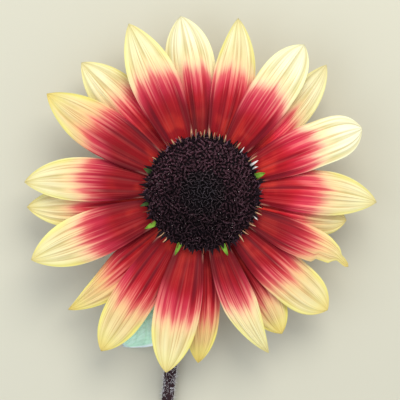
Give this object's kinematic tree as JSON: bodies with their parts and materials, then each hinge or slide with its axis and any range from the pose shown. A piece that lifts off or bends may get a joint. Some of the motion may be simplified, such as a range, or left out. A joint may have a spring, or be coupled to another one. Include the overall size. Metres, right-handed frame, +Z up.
{
  "type": "cut sunflower",
  "caption": "Cut two-coloured sunflower lying face up, with red and yellow petals round a dark disc, pointed green bracts, a bent neck, a short hairy stem and a leaf.",
  "frame": {"origin": "middle of the ground that the lying flower covers, on the surface it lies on", "axes": "+Y from the cut end of the stem towards the bloom, +Z up, out of the bloom's face"},
  "size_m": [0.1208, 0.1732, 0.0289],
  "materials": {
    "petal": "satin, red at the root to pale yellow at the tip",
    "disc": "matte, packed with dark florets",
    "bract": "matte, finely hairy",
    "stem": "matte, bristly",
    "leaf": "satin, veined"
  },
  "bodies": {
    "root": {"disc": "disc", "receptacle": "bract", "neck": "stem", "stem": "stem", "leaf": "leaf", "petal_1": "petal", "petal_2": "petal", "petal_3": "petal", "petal_4": "petal", "petal_5": "petal", "petal_6": "petal", "petal_7": "petal", "petal_8": "petal", "petal_9": "petal", "petal_10": "petal", "petal_11": "petal", "petal_12": "petal", "petal_13": "petal", "petal_14": "petal", "petal_15": "petal", "petal_16": "petal", "petal_17": "petal", "petal_18": "petal", "petal_19": "petal", "petal_20": "petal", "petal_21": "petal", "outer_bract_1": "bract", "outer_bract_2": "bract", "outer_bract_3": "bract", "outer_bract_4": "bract", "outer_bract_5": "bract", "outer_bract_6": "bract", "outer_bract_7": "bract", "outer_bract_8": "bract", "outer_bract_9": "bract", "inner_bract_1": "bract", "inner_bract_2": "bract", "inner_bract_3": "bract", "inner_bract_4": "bract", "inner_bract_5": "bract", "inner_bract_6": "bract", "inner_bract_7": "bract", "inner_bract_8": "bract", "inner_bract_9": "bract", "inner_bract_10": "bract", "inner_bract_11": "bract", "inner_bract_12": "bract"}
  },
  "joints": []
}
